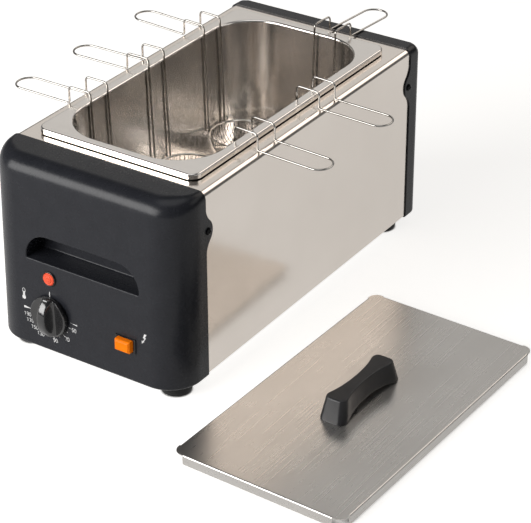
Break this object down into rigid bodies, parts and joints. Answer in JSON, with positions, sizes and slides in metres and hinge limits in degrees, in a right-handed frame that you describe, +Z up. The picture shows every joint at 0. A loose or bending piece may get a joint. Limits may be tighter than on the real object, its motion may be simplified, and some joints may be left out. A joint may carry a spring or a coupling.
{
  "type": "deep fryer",
  "caption": "Compact table-top deep fryer: steel body between black end caps, lift-out container, hanging wire portion baskets and a separate lid.",
  "frame": {"origin": "on the table under the middle of the steel body", "axes": "+X to the right seen from the control panel, +Y from the panel to the rear, +Z up"},
  "size_m": [0.5022, 0.5324, 0.218],
  "materials": {
    "stainless": "fine lengthways brushing",
    "pan_steel": "smooth drawn steel",
    "zinc_steel": "dull zinc",
    "element_steel": "heat-darkened",
    "cap_plastic": "fine satin grain",
    "knob_plastic": "satin",
    "trim_plastic": "gloss",
    "handle_plastic": "satin",
    "lamp_orange": "clear gloss",
    "key_orange": "gloss",
    "seal": "matt",
    "foot_rubber": "matt",
    "black_screw": "black",
    "wire": "polished",
    "mesh": "woven wire",
    "aluminium": "cast",
    "blanket": "fibre",
    "ceramic": "matt",
    "copper": "drawn",
    "brass": "turned",
    "lead_brown": "soft",
    "lead_blue": "soft",
    "lead_green": "soft"
  },
  "bodies": {
    "fryer": {"body_wrap": "stainless", "base_plate": "zinc_steel", "front_bulkhead": "zinc_steel", "rear_bulkhead": "zinc_steel", "front_cap": "cap_plastic", "rear_cap": "cap_plastic", "pan": "pan_steel", "pan_gasket": "seal", "pan_clips": "zinc_steel", "heat_shield": "zinc_steel", "insulation": "blanket", "heat_spreader": "aluminium", "heating_element": "element_steel", "element_studs": "zinc_steel", "clamp_bars": "zinc_steel", "clamp_nuts": "zinc_steel", "thermostat": "ceramic", "sensor_bulb": "copper", "capillary": "copper", "safety_cutout": "ceramic", "lamp_bezel": "trim_plastic", "lamp_lens": "lamp_orange", "switch_housing": "trim_plastic", "terminal_block": "ceramic", "terminal_screws": "brass", "cord_gland": "trim_plastic", "gland_nut": "trim_plastic", "wire_live": "lead_brown", "wire_neutral": "lead_blue", "wire_earth": "lead_green", "duct_grommets": "seal", "earth_stud": "brass", "feet": "foot_rubber", "foot_screws": "zinc_steel", "foot_nuts": "zinc_steel", "side_screws": "black_screw", "base_screws": "zinc_steel"},
    "knob": {"knob": "knob_plastic", "thermostat_shaft": "zinc_steel"},
    "switch_key": {"switch_key": "key_orange"},
    "lid": {"lid_panel": "stainless", "lid_handle": "handle_plastic", "lid_screws": "zinc_steel"},
    "basket_left_1": {"left_1_frame": "wire", "left_1_bowl": "mesh"},
    "basket_left_2": {"left_2_frame": "wire", "left_2_bowl": "mesh"},
    "basket_left_3": {"left_3_frame": "wire", "left_3_bowl": "mesh"},
    "basket_right_1": {"right_1_frame": "wire", "right_1_bowl": "mesh"},
    "basket_right_2": {"right_2_frame": "wire", "right_2_bowl": "mesh"},
    "basket_rear": {"rear_frame": "wire", "rear_bowl": "mesh"}
  },
  "joints": [
    {"name": "knob_turn", "type": "hinge", "parent": "fryer", "child": "knob", "pos_m": [-0.037, -0.224, 0.052], "axis": [0, 1, 0], "range_deg": [0, 268]},
    {"name": "switch_press", "type": "slide", "parent": "fryer", "child": "switch_key", "axis": [0, 0.9997, -0.0262], "range_m": [0, 0.0025], "stiffness_N_per_m": 400},
    {"name": "lid_lift", "type": "slide", "parent": "fryer", "child": "lid", "axis": [0, 0, 1], "range_m": [0, 0.15]},
    {"name": "left_1_basket_lift", "type": "slide", "parent": "fryer", "child": "basket_left_1", "axis": [0, 0, 1], "range_m": [0, 0.15]},
    {"name": "left_2_basket_lift", "type": "slide", "parent": "fryer", "child": "basket_left_2", "axis": [0, 0, 1], "range_m": [0, 0.15]},
    {"name": "left_3_basket_lift", "type": "slide", "parent": "fryer", "child": "basket_left_3", "axis": [0, 0, 1], "range_m": [0, 0.15]},
    {"name": "right_1_basket_lift", "type": "slide", "parent": "fryer", "child": "basket_right_1", "axis": [0, 0, 1], "range_m": [0, 0.15]},
    {"name": "right_2_basket_lift", "type": "slide", "parent": "fryer", "child": "basket_right_2", "axis": [0, 0, 1], "range_m": [0, 0.15]},
    {"name": "rear_basket_lift", "type": "slide", "parent": "fryer", "child": "basket_rear", "axis": [0, 0, 1], "range_m": [0, 0.15]}
  ]
}
